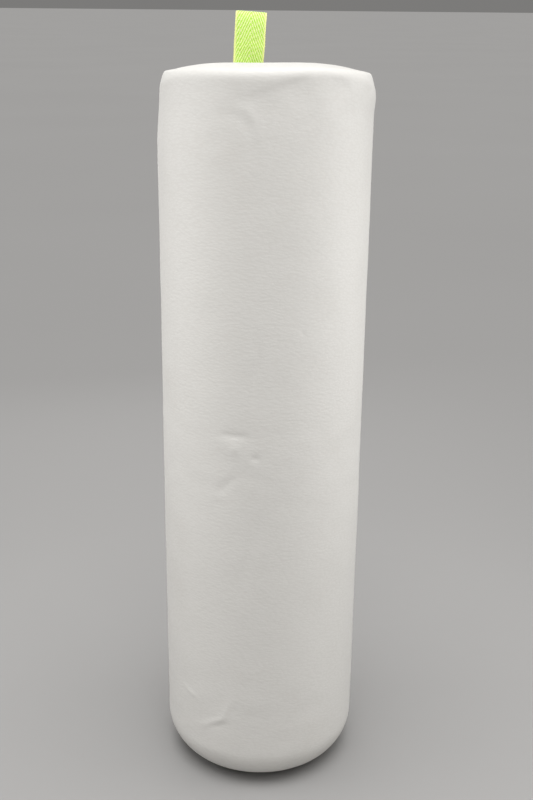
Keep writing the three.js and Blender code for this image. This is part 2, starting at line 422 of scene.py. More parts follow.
@dataclass(frozen=True)
class LimeWebbing:
    """Lime polyester tape: each warp yarn a little different, with painted shade where the weave sinks and
    a painted highlight along the selvage.
    """

    lime: tuple[float, float, float] = (0.90, 0.99, 0.46)
    # The painted shade of the weave, where its yarns sink under others.
    deep: tuple[float, float, float] = (0.46, 0.84, 0.05)
    # Paler yarns at random, and the painted highlight along the selvage.
    pale: tuple[float, float, float] = (0.98, 1.0, 0.40)

    def make(self) -> bpy.types.Material:
        """Builds the material, from the relief and edge that the weave left on the mesh."""
        shader = Shader("lime_webbing")
        floating, edge = (
            shader.value("ShaderNodeAttribute", {"attribute_name": name}, None, "Fac")
            for name in ("float", "selvage"))
        place = shader.place()
        yarn = shader.noise(place, 900, 2)
        # Painted light and shade: yarns that float on top are lime, and the sunken parts are painted the
        # deeper shade.
        body = shader.mix(floating.between(0.1, 0.9), self.deep, self.lime)
        lively = shader.mix(yarn.between(0.4, 0.8) * 0.15, body, self.pale)
        # Painted highlight: the selvage is painted pale, as the lit edge of the tape.
        colour = shader.mix(edge * 0.85, lively, self.pale)
        fuzz = shader.noise(place, 3500, 2)
        return shader.finish({
            "Base Color": colour,
            "Roughness": 0.62 + fuzz * 0.2,
            "Normal": shader.bump(fuzz, 0.03 * MM, 0.6),
            "Sheen Weight": 0.25,
            "Sheen Roughness": 0.4,
            "Specular IOR Level": 0.35,
        })


@dataclass(frozen=True)
class Filling:
    """A matte fibrous or cellular filling, with painted shade in its pits."""

    name: str
    light: tuple[float, float, float]
    # The painted shade in the pits, and the darker end of the random tone.
    dark: tuple[float, float, float]
    cell: float
    relief: float

    def make(self) -> bpy.types.Material:
        """Builds the material."""
        shader = Shader(self.name)
        place = shader.place()
        drift = shader.noise(place, 40, 3)
        pit = shader.cells(place, 1 / self.cell).between(0.1, 0.6)
        return shader.finish({
            # Painted shade: the pits are painted dark, over a random drift in tone.
            "Base Color": shader.mix(pit * 0.6 + drift * 0.3, self.dark, self.light),
            "Roughness": 0.9 + drift * 0.08,
            "Normal": shader.bump(pit, self.relief, 0.8),
        })


@dataclass(frozen=True)
class WhiteThread:
    """Twisted polyester thread, with painted shade in the grooves between its plies."""

    light: tuple[float, float, float] = (0.86, 0.85, 0.80)
    # The painted shade in the grooves between the plies.
    dark: tuple[float, float, float] = (0.62, 0.60, 0.55)
    ply: float = 0.35 * MM

    def make(self) -> bpy.types.Material:
        """Builds the material."""
        shader = Shader("white_thread")
        x, y, z = shader.apart(shader.place())
        wave = shader.value(
            "ShaderNodeMath", {"operation": "SINE"}, {0: (x + y + z) * (math.tau / self.ply)})
        strand = wave * 0.5 + 0.5
        return shader.finish({
            # Painted shade: where the strand sinks between plies it is painted dark.
            "Base Color": shader.mix(strand, self.dark, self.light),
            "Roughness": 0.55 + strand * 0.1,
            "Normal": shader.bump(strand, 0.04 * MM, 0.8),
            "Sheen Weight": 0.2,
        })


# ---- the cover


class Profile(Enum):
    """The cross-section of a mark in the cover."""

    DENT = "a soft rounded hollow"
    CREASE = "a sharp line with soft sides"
    RUN_OUT = "steep above and running out gently below"


@dataclass(frozen=True)
class Mark:
    """A hollow or a fold that handling left in the cover, along a line of points.

    Each point is a bearing in degrees to the right of FACE and a height in mm. The width and depth
    are in mm, and a negative depth stands proud.
    """

    line: tuple[tuple[float, float], ...]
    width: float
    depth: float
    profile: Profile = Profile.DENT

    def press(self, sheet: Grid) -> Grid:
        """How deep this mark is at points of the unrolled sheet, in metres."""
        line = [(math.radians(turn) * PLACES.radius, z * MM) for turn, z in self.line]
        away, along, above = distance_to(sheet, line)
        width = np.full(len(sheet), self.width * MM)
        if self.profile is Profile.RUN_OUT:
            run_out = 3.0  # how many times longer the lower side is
            width *= 1 + (run_out - 1) * ease(-self.width * MM, 0, -above)
        share = away / width
        shape = np.exp(-1.6 * share) if self.profile is Profile.CREASE else np.exp(-share**2)
        ends = np.sin(np.pi * np.clip(along, 0.02, 0.98)) ** 0.5
        return self.depth * MM * shape * ends


MARKS = (
    # the slack under the rim, and the ridge that turns down below it
    Mark(((24.5, 299.5), (16.7, 297.3), (9.3, 295.9), (-0.2, 294.1), (-9.0, 291.9)), 3.4, 0.47,
         Profile.RUN_OUT),
    Mark(((21.8, 298.6), (15.7, 298.0), (9.8, 297.1)), 2.4, 0.2, Profile.RUN_OUT),
    Mark(((32.0, 299.4), (40.5, 298.0), (45.5, 294.4)), 2.4, 0.34, Profile.RUN_OUT),
    Mark(((-14.0, 292.2), (-6.9, 289.6), (-3.3, 286.0), (-2.0, 279.5)), 1.8, -0.2),
    Mark(((-25.0, 289.0), (-13.5, 288.6), (-8.0, 285.5), (-6.0, 281.0)), 1.8, 0.16),
    Mark(((64.1, 299.8), (62.0, 294.5)), 1.0, 0.35),
    Mark(((49.5, 290.0), (50.1, 281.0)), 1.6, 0.12),
    Mark(((26.5, 288.3), (17.1, 285.3)), 1.8, 0.12),
    # the long fold from when the cover lay flat
    Mark(((1.5, 285.0), (3.0, 170.0)), 8.0, 0.25),
    Mark(((-1.6, 206.0), (-2.6, 195.7), (-4.5, 178.0)), 1.5, 0.2),
    Mark(((-4.6, 204.0), (-4.6, 196.0)), 0.9, -0.16, Profile.CREASE),
    Mark(((-1.9, 134.0), (-4.2, 120.6), (-8.0, 104.5)), 1.8, 0.25),
    # a pinch, the puffed skin under it and the folds that it left
    Mark(((-22.5, 167.5), (-15.1, 167.8), (-7.4, 167.8)), 1.3, 0.3),
    Mark(((-18.0, 162.0), (-11.5, 162.0)), 3.0, -0.32),
    Mark(((-4.4, 160.0), (-2.6, 157.5)), 1.4, 0.32),
    Mark(((-14.2, 150.6), (-19.1, 146.6), (-23.8, 141.7)), 1.5, 0.26),
    Mark(((-23.9, 138.8), (-25.3, 136.6)), 1.2, 0.14),
    # nicks near the bottom
    Mark(((-37.5, 26.8), (-28.6, 31.4), (-21.4, 34.9), (-17.0, 45.0)), 1.2, -0.34),
    Mark(((-31.0, 28.0), (-21.0, 32.6)), 1.2, 0.12),
    Mark(((-54.0, 43.6), (-39.0, 40.2)), 1.1, -0.16),
    # small pits
    Mark(((17.2, 239.7), (9.6, 238.3)), 1.0, 0.16),
    Mark(((21.0, 210.4), (21.0, 209.6)), 0.6, 0.18),
    Mark(((24.3, 261.0), (24.9, 258.0)), 2.4, 0.14),
)


@dataclass(frozen=True)
class Droop:
    """How one shoulder of the rim drops.

    The drop is in mm. It starts at a share of the radius out from the middle, on the right (side 1)
    or the left (side -1), and steepens by a power. A brim's drop stays outside the seam.
    """

    side: int
    drop: float
    start: float
    power: float
    brim: bool = False


DROOPS = (Droop(1, 1.8, 0.5, 3), Droop(1, 4.2, 0.5, 5, True),
          Droop(-1, 1.8, 0.5, 2), Droop(-1, 2.8, 0.6, 3, True))

# Rows of the wall are this far apart up to each height, both in mm: finer where there are marks.
ROWS = ((46.0, 1.6), (138.0, 5.0), (170.0, 1.4), (276.0, 5.0), (320.0, 1.5))


@dataclass
class Cover:
    """The sewn cover: a tube and two round panels, with their hems inside."""

    sheet: float = 0.9 * MM
    lip: float = 0.9 * MM
    bottom_edge: float = 16 * MM
    top_edge: float = 4 * MM
    columns: int = 96
    hem: float = 6.5 * MM
    fin: float = 4.5 * MM
    seam_gap: float = 0.12 * MM
    lips_apart: float = -0.2 * MM  # smoothing opens the end seams by a little more than this
    seam_sunk: float = 0.5 * MM
    pressure: float = 14.0
    ease_at_seam: float = -0.03
    swell_cap: float = 0.9 * MM
    shoulder: float = 30 * MM
    front_rise: float = 3.0 * MM
    hump_rise: float = 0.5 * MM
    left_draw: float = 0.038
    ear: float = 0.012
    foot_draw: float = 0.022
    pieces: list[Item] = field(default_factory=list)

    def __post_init__(self) -> None:
        """Works out where the seams lie on the outline, and where each panel starts to roll in.

        A lip that leaves an edge of radius e at an angle a reaches lip * (1 + cos a) inwards, and
        one that leaves an end panel reaches lip * (1 - its slope) outwards.
        """
        allowance = 0.15 * MM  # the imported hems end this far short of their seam
        fold = 0.3 * MM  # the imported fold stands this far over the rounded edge
        self.high_valley = PLACES.top_hem + allowance
        self.low_valley = PLACES.bottom_hem + allowance
        half_gap = self.lips_apart / 2

        self.low_angle, self.low_side = self.roll_start(self.low_valley, self.bottom_edge)
        low_middle = PLACES.radius - self.bottom_edge
        shrink = 1 - self.lip / self.bottom_edge
        self.low_panel = (
            self.low_valley - half_gap - self.lip * (1 + low_middle / self.bottom_edge)) / shrink
        self.low_centre = (low_middle, self.bottom_edge)

        self.high_angle, self.high_side = self.roll_start(self.high_valley, self.top_edge)
        self.high_panel = self.high_valley - half_gap - self.lip
        lift = self.top_edge * math.sin(self.high_angle)
        self.high_centre = (PLACES.radius - self.top_edge, PLACES.side_top - fold - lift)

    def roll_start(self, valley: float, edge: float) -> tuple[float, float]:
        """Where the tube leaves a rounded edge to roll in at a seam.

        Args:
            valley: How far the seam is from the axis.
            edge: The radius of the rounded edge.

        Returns:
            The angle round the edge from the wall, and the distance from the axis.
        """
        middle = PLACES.radius - edge
        reach = valley + self.lips_apart / 2 + self.lip - middle
        angle = math.acos(reach / (edge - self.lip))
        return angle, middle + edge * math.cos(angle)

    def dome(self, radius: float) -> float:
        """The height of the top panel at a distance from the axis."""
        rise = PLACES.crest - PLACES.side_top
        dip = 0.55 * MM  # the panel's edge lies a little lower than the tube's
        share = radius / self.high_valley
        return PLACES.crest - rise * share**2 - dip * share**8

    def low_height(self, radius: float) -> float:
        """The height of the rounded bottom edge at a distance from the axis."""
        out = max(radius - self.low_centre[0], 0)
        return self.low_centre[1] - math.sqrt(self.bottom_edge**2 - out**2)

    def outline(self) -> list[tuple[float, float]]:
        """The skin's outline from the middle of the bottom to the middle of the top.

        Returns:
            (radius, height) points, with one on each edge of each seam's strip and one in its
            valley.
        """
        flat = self.low_centre[0]
        line = [(flat * t, 0.0) for t in (0, 0.2, 0.4, 0.58, 0.74, 0.88, 1.0)]
        for radius in np.linspace(flat, self.low_panel, 5)[1:]:
            line.append((radius, self.low_height(radius)))
        line.append((self.low_valley, self.low_height(self.low_valley) + self.seam_sunk))
        line.extend(arc(self.low_centre, self.bottom_edge, np.linspace(-self.low_angle, 0, 6)))
        z = self.low_centre[1]
        for end, spacing in ROWS:
            while z < min(end * MM, self.high_centre[1]) - 0.5 * spacing * MM:
                z += spacing * MM
                line.append((PLACES.radius, z))
        line[-1] = (PLACES.radius, self.high_centre[1])
        line.extend(arc(self.high_centre, self.top_edge, np.linspace(0, self.high_angle, 5)[1:]))
        line.append((self.high_valley, self.dome(self.high_valley) - self.seam_sunk))
        line.extend((radius, self.dome(radius)) for radius in np.linspace(self.high_panel, 0, 15))
        return line

    def spin_skin(self) -> Item:
        """Spins the outline into one closed skin.

        Returns:
            The skin, with its first column at the long seam.
        """
        alone()
        line = self.outline()
        bpy.ops.mesh.primitive_plane_add(size=MM, location=(0, 0, 0))
        skin = named("skin")
        bpy.ops.object.mode_set(mode="EDIT")
        bpy.ops.mesh.merge(type="CENTER")
        for (r0, z0), (r1, z1) in zip(line, line[1:]):
            bpy.ops.mesh.extrude_region_move(TRANSFORM_OT_translate={"value": (0, r1 - r0, z1 - z0)})
        bpy.ops.mesh.select_all(action="SELECT")
        bpy.ops.mesh.spin(steps=self.columns, angle=math.tau, center=(0, 0, 0), axis=(0, 0, 1))
        bpy.ops.mesh.select_all(action="SELECT")
        bpy.ops.mesh.remove_doubles(threshold=0.01 * MM)
        bpy.ops.mesh.normals_make_consistent(inside=False)
        bpy.ops.object.mode_set(mode="OBJECT")
        where = points(skin)
        radius = np.hypot(where[:, 0], where[:, 1])
        bearing = self.crowd(bearing_of(where))
        set_points(skin, np.stack(
            [radius * np.sin(bearing), -radius * np.cos(bearing), where[:, 2]], axis=1))
        return skin

    def crowd(self, bearing: Grid) -> Grid:
        """Moves evenly spread bearings closer together at the front and at the long seam."""
        return bearing - 0.15 * np.sin(bearing) - 0.17 * np.sin(2 * bearing)

    def remember_rest(self, skin: Item) -> None:
        """Keeps each vertex's place on the true outline, which later steps cut and mark by."""
        rest = skin.data.attributes.new("rest", "FLOAT_VECTOR", "POINT")
        rest.data.foreach_set("vector", points(skin).astype(np.float32).ravel())

    def rest_of(self, skin: Item) -> Grid:
        """Each vertex's place on the true outline."""
        return rows(skin.data.attributes["rest"].data, "vector")

    def slump(self, where: Grid) -> Grid:
        """Lets the filling settle: one shoulder drops and bulges, and the other draws in."""
        turn = bearing_of(where) - math.radians(FACE)
        radius = np.hypot(where[:, 0], where[:, 1])
        share = np.clip(radius / self.high_panel, 0, 1)  # both lips of the seam move as one
        right, back = share * np.sin(turn), -share * np.cos(turn)
        below = PLACES.crest - where[:, 2]
        top = 1 - ease(0, self.shoulder, below)
        brim = ease(self.high_side + 0.5 * MM, PLACES.radius, radius) * top
        moved = where.copy()
        hump = ease(-0.2, 0.4, right) * (1 - ease(0.45, 0.8, right)) * top
        front = (0.5 - 0.5 * back) * (1 - ease(0, 40 * MM, below))
        moved[:, 2] += self.front_rise * front + self.hump_rise * hump
        for droop in DROOPS:
            share = np.clip((droop.side * right - droop.start) / (1 - droop.start), 0, 1)
            moved[:, 2] -= droop.drop * MM * share**droop.power * (brim if droop.brim else top)
        left = self.left_draw * ease(0.2, 1.0, -right) * (1 - ease(0, 34 * MM, below))
        ear = np.exp(-(((below - 8 * MM) / (5 * MM)) ** 2)) * ease(0.55, 1.0, right) * self.ear
        foot = self.foot_draw * (1 - ease(2 * MM, 19 * MM, where[:, 2]))
        moved[:, :2] *= (1 - left + ear - foot)[:, None]
        return moved

    def from_seam(self, rest: Grid) -> Grid:
        """How far points of the true outline are from the nearer end seam."""
        radius, z = np.hypot(rest[:, 0], rest[:, 1]), rest[:, 2]
        return np.minimum(
            np.hypot(radius - self.high_valley, z - PLACES.side_top),
            np.hypot(radius - self.low_valley, z - self.low_height(self.low_valley)),
        )

    def hold(self, skin: Item) -> None:
        """Marks what the cloth keeps still and where it has fabric to spare."""
        rest = self.rest_of(skin)
        radius = np.hypot(rest[:, 0], rest[:, 1])
        z = rest[:, 2]
        at_valley = (np.abs(radius - self.high_valley) < 0.3 * MM) & (z > self.high_centre[1])
        at_valley |= (np.abs(radius - self.low_valley) < 0.3 * MM) & (z < self.low_centre[1])
        standing = (z < 0.2 * MM) | (radius < MM)
        back = np.abs(np.abs(bearing_of(rest)) - math.pi) < 0.01
        held = np.where(at_valley | standing | back, 1.0, 0.0)
        spare = np.exp(-((self.from_seam(rest) / (7 * MM)) ** 2))
        for name, weights in (("held", held), ("spare", spare)):
            group = skin.vertex_groups.new(name=name)
            for index, weight in enumerate(weights):
                if weight > 0.01:
                    group.add([index], float(weight), "REPLACE")

    def inflate(self, skin: Item) -> None:
        """Fills the skin as cloth, so that it swells between its seams and puckers along them."""
        start = points(skin)
        rough = start + normals(skin) * (wander(start, 7 * MM, 3) * 0.12 * MM)[:, None]
        set_points(skin, rough)
        self.hold(skin)
        cloth = skin.modifiers.new("cloth", "CLOTH")
        cloth.settings.effector_weights.gravity = 0
        set_all(cloth.settings, {
            "quality": 6,
            "mass": 0.01,
            "tension_stiffness": 60,
            "compression_stiffness": 60,
            "shear_stiffness": 30,
            "bending_stiffness": 0.002,
            "tension_damping": 8,
            "compression_damping": 8,
            "use_pressure": True,
            "uniform_pressure_force": self.pressure,
            "vertex_group_mass": "held",
            "vertex_group_shrink": "spare",
            "shrink_min": 0,
            "shrink_max": self.ease_at_seam,
        })
        last_frame = 20
        cloth.point_cache.frame_start = 1
        cloth.point_cache.frame_end = last_frame
        for step in range(1, last_frame + 1):
            bpy.context.scene.frame_set(step)
        settled = skin.evaluated_get(bpy.context.evaluated_depsgraph_get())
        filled = points(settled)
        skin.modifiers.remove(cloth)
        bpy.context.scene.frame_set(1)
        free = ease(1.1 * MM, 5 * MM, self.from_seam(self.rest_of(skin)))
        moved = (filled - start) * free[:, None]  # the lips stay closed
        far = np.linalg.norm(moved, axis=1)[:, None]
        log.info("inflated: moved up to %.2f mm", far.max() / MM)
        set_points(skin, start + moved * (self.swell_cap / np.maximum(far, self.swell_cap)))
        skin.vertex_groups.clear()

    def mark(self, skin: Item) -> None:
        """Presses the marks of handling into the skin, and lets it wander a little all over."""
        rest = self.rest_of(skin)
        radius = np.hypot(rest[:, 0], rest[:, 1])
        turn = (np.degrees(bearing_of(rest)) - FACE + 180) % 360 - 180
        across = np.radians(turn) * PLACES.radius
        sheet = np.stack([across, rest[:, 2]], axis=1)
        on_wall = ease(self.high_panel, self.high_side, radius) * ease(0, 4 * MM, rest[:, 2])
        depth = sum(mark.press(sheet) for mark in MARKS)
        outward = normals(skin)
        loose = wander(rest, 42 * MM, 11) * 0.16 + wander(rest, 17 * MM, 12) * 0.07
        still = ease(0, 10 * MM, rest[:, 2])
        move = -depth * on_wall + loose * MM * still
        set_points(skin, points(skin) + outward * move[:, None])

    def panel(self, skin: Item, name: str, low: float, high: float) -> Item:
        """Cuts one panel out of the skin.

        Args:
            skin: The whole skin.
            name: The panel's name.
            low: How far along the outline the panel starts, as outline_place measures.
            high: How far along it ends.

        Returns:
            The panel, as a single sheet.
        """
        made = skin.copy()
        made.data = skin.data.copy()
        made.name = made.data.name = name
        bpy.context.collection.objects.link(made)
        place = self.outline_place(self.rest_of(made))
        mesh = bmesh.new()
        mesh.from_mesh(made.data)
        mesh.verts.ensure_lookup_table()
        slack = 0.15 * MM  # halved columns lie a little inside the true outline
        outside = [
            face for face in mesh.faces
            if not all(low - slack <= place[v.index] <= high + slack for v in face.verts)
        ]
        bmesh.ops.delete(mesh, geom=outside, context="FACES")
        mesh.to_mesh(made.data)
        mesh.free()
        return made

    def outline_place(self, rest: Grid) -> Grid:
        """How far along the outline each point is: out along the bottom, up, and in along the top."""
        radius = np.hypot(rest[:, 0], rest[:, 1])
        middle = (self.low_centre[1] + self.high_centre[1]) / 2
        wall = rest[:, 2]
        return np.where(
            wall < middle,
            radius - PLACES.radius + np.minimum(wall, self.low_centre[1]),
            PLACES.radius - radius + np.maximum(wall, self.high_centre[1]) + PLACES.radius,
        )

    def turn_in(self, sheet: Item, level: float, heading: float, side: int) -> None:
        """Rolls one round edge of a panel over a lip and runs it on as a hem inside the cover.

        Args:
            sheet: The panel.
            level: Where that edge is, as outline_place measures.
            heading: The sheet's direction at the edge, as an angle up from straight out.
            side: 1 if it rolls to the left of its heading, with outward to the right and up
                above, or -1 if it rolls to the right.
        """
        place = self.outline_place(self.rest_of(sheet))
        ahead = np.array([math.cos(heading), math.sin(heading)])
        toward = side * np.array([-ahead[1], ahead[0]])
        final_up = math.copysign(1, toward[1])
        turn = math.acos(np.clip(ahead[1] * final_up, -1, 1))
        mesh = bmesh.new()
        mesh.from_mesh(sheet.data)
        mesh.verts.ensure_lookup_table()
        edges = [
            e for e in mesh.edges
            if e.is_boundary and all(abs(place[v.index] - level) < 0.3 * MM for v in e.verts)
        ]
        homes = {v: v.co.copy() for e in edges for v in e.verts}
        for angle, run in roll_and_run(turn, self.hem, 6):
            edges, homes = extrude(mesh, edges, homes)
            rolled = self.lip * (ahead * math.sin(angle) + toward * (1 - math.cos(angle)))
            out, up = rolled + run * (ahead * math.cos(turn) + toward * math.sin(turn))
            for v, home in homes.items():
                outward = Vector((home.x, home.y, 0)).normalized()
                v.co = home + outward * out + Vector((0, 0, up))
        mesh.to_mesh(sheet.data)
        mesh.free()

    def build(self) -> None:
        """Builds and dresses the three panels."""
        skin = self.spin_skin()
        self.remember_rest(skin)
        set_points(skin, self.slump(points(skin)))
        self.inflate(skin)
        apply_modifier(skin, "SUBSURF", levels=1, render_levels=1, boundary_smooth="PRESERVE_CORNERS")
        self.mark(skin)
        bottom, side, top = self.cut(skin)
        self.open_back(side)
        self.make_room(top)
        for sheet, lie, node, fill in (
            (bottom, Lie.FLAT, "bottom_panel", 0.9),
            (side, Lie.TUBE, "side_panel", 0.95),
            (top, Lie.FLAT, "top_panel", 0.9),
        ):
            apply_modifier(sheet, "SOLIDIFY", thickness=self.sheet, offset=-1, use_rim=True)
            sheet.data.attributes.remove(sheet.data.attributes["rest"])
            smooth(sheet)
            sheet.data.materials.clear()
            sheet.data.materials.append(Leatherette(lie).make())
            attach(sheet, "bumper")
            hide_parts(node)
            self.pieces.append(sheet)
            log.info("%s: %d faces", sheet.name, len(sheet.data.polygons))

    def cut(self, skin: Item) -> tuple[Item, Item, Item]:
        """Cuts the skin apart at its end seams and turns the four round edges in.

        Args:
            skin: The whole skin, which is used up.

        Returns:
            The bottom panel, the tube and the top panel.
        """
        high_edge = self.high_centre[1] + self.top_edge * math.sin(self.high_angle)
        low_panel, low_side, high_side, high_panel, start, end = self.outline_place(np.array([
            (self.low_panel, 0, self.low_height(self.low_panel)),
            (self.low_side, 0, self.low_height(self.low_side)),
            (self.high_side, 0, high_edge),
            (self.high_panel, 0, self.dome(self.high_panel)),
            (0, 0, 0),
            (0, 0, PLACES.crest),
        ]))
        bottom = self.panel(skin, "bottom_panel_leatherette", start, low_panel)
        side = self.panel(skin, "side_panel_leatherette", low_side, high_side)
        top = self.panel(skin, "top_panel_leatherette", high_panel, end)
        bpy.data.objects.remove(skin)
        slope = math.asin((self.low_panel - self.low_centre[0]) / self.bottom_edge)
        step = 0.5 * MM
        tilt = math.atan((self.dome(self.high_panel - step) - self.dome(self.high_panel)) / step)
        quarter = math.pi / 2
        self.turn_in(bottom, low_panel, slope, 1)
        self.turn_in(side, low_side, -quarter - self.low_angle, -1)
        self.turn_in(side, high_side, quarter + self.high_angle, 1)
        self.turn_in(top, high_panel, -tilt, -1)
        return bottom, side, top

    def open_back(self, side: Item) -> None:
        """Opens the tube along the long seam and turns its two edges in as fins."""
        mesh = bmesh.new()
        mesh.from_mesh(side.data)
        next_column = self.crowd(np.array([math.pi * (1 - 1 / self.columns)]))[0]
        half_column = PLACES.radius * math.sin(next_column)
        at_back = [f for f in mesh.faces
                   if abs(f.calc_center_median().x) < half_column and f.calc_center_median().y > 0]
        bmesh.ops.delete(mesh, geom=at_back, context="FACES")
        mesh.normal_update()
        edges = [e for e in mesh.edges if e.is_boundary and all(
            abs(abs(v.co.x) - half_column) < 0.5 * MM and v.co.y > 0 for v in e.verts)
            and abs(e.verts[0].co.x - e.verts[1].co.x) < 0.4 * MM]
        low, high = 6 * MM, PLACES.side_top - 4 * MM
        homes = {}
        for v in {v for e in edges for v in e.verts}:
            z = v.co.z
            opens, closes = np.array((low, high - 9 * MM)), np.array((low + 9 * MM, high))
            rises, falls = ease(opens, closes, z)
            open_share = float(rises * (1 - falls))
            side_of = math.copysign(1, v.co.x)
            gap = self.seam_gap * max(open_share, 0.08)
            v.co.x = side_of * (gap + open_share * (half_column - self.seam_gap))
            homes[v] = (v.co.copy(), v.normal.copy(), side_of, open_share)
        lip = half_column - self.seam_gap
        for angle, run in roll_and_run(math.pi / 2, self.fin, 5):
            edges, homes = extrude(mesh, edges, homes)
            for v, (home, normal, side_of, share) in homes.items():
                inward = -Vector((normal.x * 0.2, normal.y, normal.z)).normalized()
                across = -side_of * lip * share * math.sin(angle)
                deep = (lip * (1 - math.cos(angle)) + run) * share
                v.co = home + Vector((across, 0, 0)) + inward * deep
        bmesh.ops.remove_doubles(mesh, verts=mesh.verts, dist=0.004 * MM)
        mesh.to_mesh(side.data)
        mesh.free()

    def make_room(self, top: Item) -> None:
        """Draws the top panel's edge in where the webbing comes up through the seam."""
        where = points(top)
        beside = 1 - ease(PLACES.webbing * 0.56, PLACES.webbing, np.abs(where[:, 0]))
        near = ease(PLACES.top_hem * 0.55, PLACES.top_hem * 0.95, where[:, 1])
        doubled_tape = 2.0 * MM
        where[:, 1] -= doubled_tape * beside * near
        set_points(top, where)


def arc(centre: tuple[float, float], radius: float, angles: Grid) -> list[tuple[float, float]]:
    """Points of an arc, at angles up from straight out."""
    return [(centre[0] + radius * math.cos(a), centre[1] + radius * math.sin(a)) for a in angles]


def roll_and_run(turn: float, run: float, roll_steps: int) -> list[tuple[float, float]]:
    """The (angle, length) steps of an edge that rolls over by an angle and then runs straight on."""
    run_steps = 3
    steps = [(turn * i / roll_steps, 0.0) for i in range(1, roll_steps + 1)]
    return steps + [(turn, run * i / run_steps) for i in range(1, run_steps + 1)]


def extrude(mesh: bmesh.types.BMesh, edges: list, homes: dict) -> tuple[list, dict]:
    """Extrudes open edges.

    Args:
        mesh: The mesh.
        edges: The open edges.
        homes: What is known of each of their vertices.

    Returns:
        The fresh open edges, and what is known of each fresh vertex, which is what was known of
        the one that it came from.
    """
    made = bmesh.ops.extrude_edge_only(mesh, edges=edges)["geom"]
    fresh = {}
    for vertex in (g for g in made if isinstance(g, bmesh.types.BMVert)):
        others = [edge.other_vert(vertex) for edge in vertex.link_edges]
        fresh[vertex] = next(homes[other] for other in others if other in homes)
    opened = [g for g in made if isinstance(g, bmesh.types.BMEdge)
              and g.is_boundary and all(v in fresh for v in g.verts)]
    return opened, fresh


def distance_to(where: Grid, line: list[tuple[float, float]]) -> tuple[Grid, Grid, Grid]:
    """How far points of the sheet are from a line on it.

    Args:
        where: Points, one row of two numbers each.
        line: The line's points.

    Returns:
        The distance of each point, how far along the line its nearest place is, from 0 to 1, and
        how far it lies above that place.
    """
    line = np.array(line)
    at = stations(line)
    best = np.full(len(where), np.inf)
    along, above = np.zeros(len(where)), np.zeros(len(where))
    for a, b, begun, ended in zip(line, line[1:], at, at[1:]):
        span = ended - begun
        t = np.clip((where - a) @ (b - a) / span**2, 0, 1)
        off = where - (a + t[:, None] * (b - a))
        away = np.linalg.norm(off, axis=1)
        nearer = away < best
        along = np.where(nearer, (begun + t * span) / at[-1], along)
        above = np.where(nearer, off[:, 1], above)
        best = np.minimum(best, away)
    return best, along, above


# ---- the webbing loop


